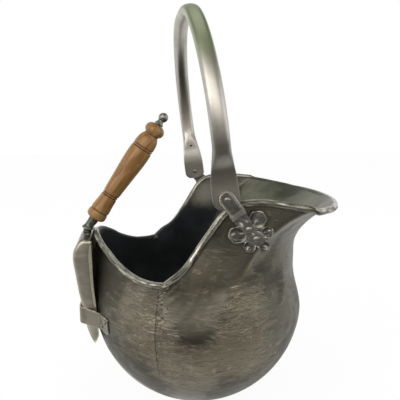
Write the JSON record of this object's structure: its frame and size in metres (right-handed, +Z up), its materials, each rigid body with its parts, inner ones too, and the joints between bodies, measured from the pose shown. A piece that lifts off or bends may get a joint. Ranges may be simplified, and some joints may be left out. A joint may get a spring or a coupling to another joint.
{
  "type": "coal scuttle",
  "caption": "Helmet-shaped sheet-metal coal scuttle with a flared lip, a swinging bail and a wood-handled shovel standing in a strap behind it.",
  "frame": {"origin": "centre of the flat rest face under the bowl", "axes": "+X towards the pouring lip, +Z up, +Y to the left"},
  "size_m": [0.3108, 0.2922, 0.4574],
  "materials": {
    "antiqued_steel": "antiqued, darkened and brown-patched, black-painted inside",
    "bright_steel": "burnished, with fine long scratches",
    "turned_wood": "turned and varnished"
  },
  "bodies": {
    "scuttle": {"front_body": "antiqued_steel", "back_body": "antiqued_steel", "bottom_pan": "antiqued_steel", "rim_wire_front": "bright_steel", "rim_wire_back": "bright_steel", "lug_left": "antiqued_steel", "lug_right": "antiqued_steel", "lug_rivet_upper_left": "bright_steel", "lug_rivet_lower_left": "bright_steel", "lug_rivet_upper_right": "bright_steel", "lug_rivet_lower_right": "bright_steel", "pivot_rivet_left": "bright_steel", "pivot_rivet_right": "bright_steel", "shovel_loop": "antiqued_steel", "loop_rivet_low_left": "bright_steel", "loop_rivet_low_right": "bright_steel", "loop_rivet_high_left": "bright_steel", "loop_rivet_high_right": "bright_steel"},
    "bail": {"bail_handle": "bright_steel"},
    "shovel": {"scoop_blade": "antiqued_steel", "scoop_tang": "antiqued_steel", "neck_rivet_right": "bright_steel", "neck_rivet_left": "bright_steel", "wood_grip": "turned_wood", "grip_nut": "bright_steel"}
  },
  "joints": [
    {"name": "bail_swing", "type": "hinge", "parent": "scuttle", "child": "bail", "pos_m": [0.012, 0, 0.256], "axis": [0, 1, 0], "range_deg": [-112, 74]},
    {"name": "shovel_lift", "type": "slide", "parent": "scuttle", "child": "shovel", "axis": [-0.1478, 0, 0.989], "range_m": [0, 0.16]}
  ]
}
